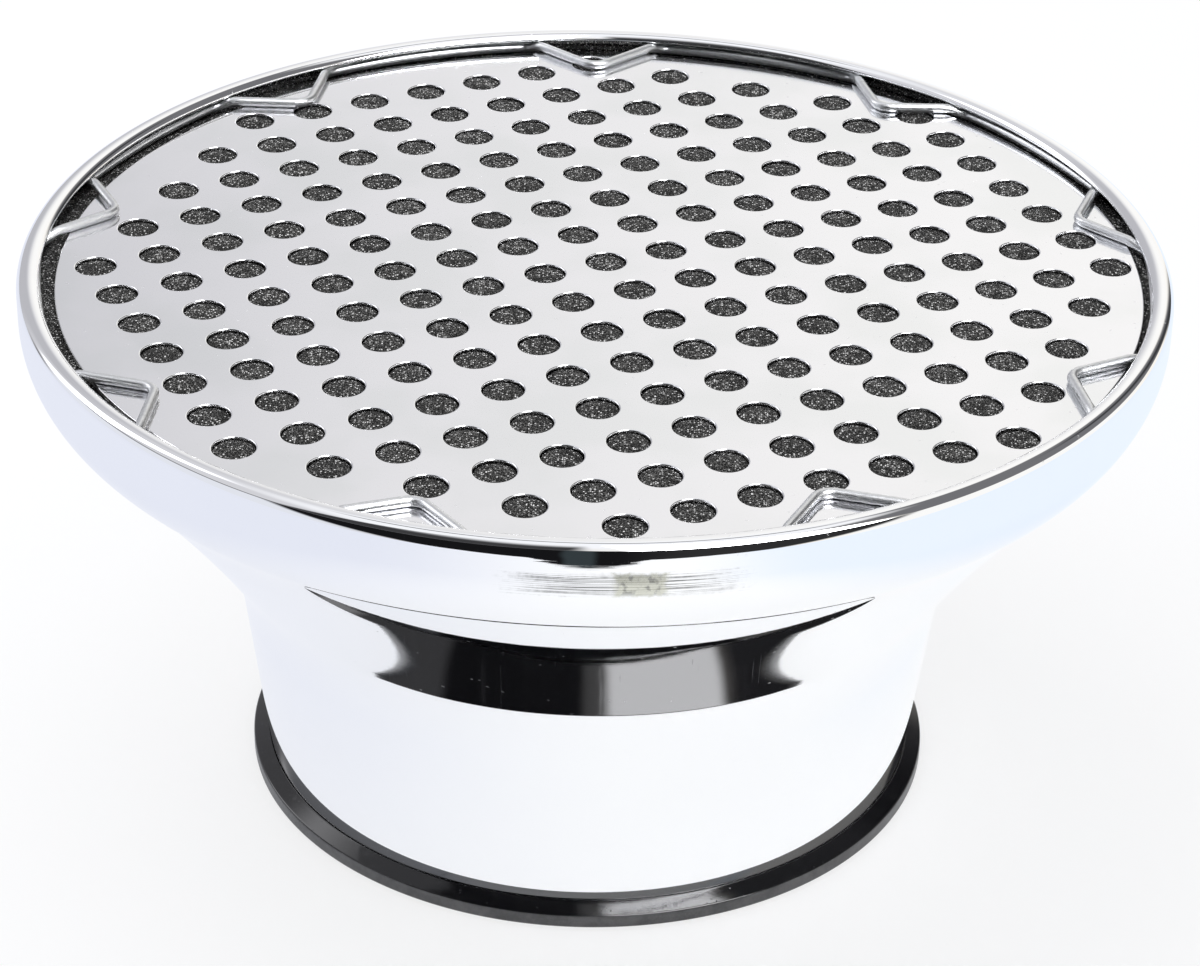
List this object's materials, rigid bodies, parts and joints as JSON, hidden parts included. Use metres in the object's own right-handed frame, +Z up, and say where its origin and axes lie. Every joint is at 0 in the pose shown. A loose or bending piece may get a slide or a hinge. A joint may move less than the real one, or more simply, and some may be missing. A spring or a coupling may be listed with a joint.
{
  "type": "velocity stack air cleaner",
  "caption": "Spun chrome velocity stack with a rolled rim, a perforated grille over foam held by a jogged wire ring, and a black plastic neck ring.",
  "frame": {"origin": "centre of the neck ring's underside, on the surface that the part stands on", "axes": "+Z up the funnel's axis towards the rim; the picture looks along +Y with +X to the right"},
  "size_m": [0.2286, 0.2286, 0.1139],
  "materials": {
    "chrome": "bright chrome plating on spun steel",
    "ring_plastic": "glossy black moulded plastic",
    "bar_steel": "plain zinc-plated strip",
    "foam": "dark open-cell foam with small glints",
    "grille_chrome": "chrome-plated perforated sheet",
    "wire_steel": "bright plated spring wire"
  },
  "bodies": {
    "root": {"funnel": "chrome", "base_ring": "ring_plastic", "hold_down_bar": "bar_steel", "foam_element": "foam", "perforated_grille": "grille_chrome", "retainer_wire": "wire_steel"}
  },
  "joints": []
}
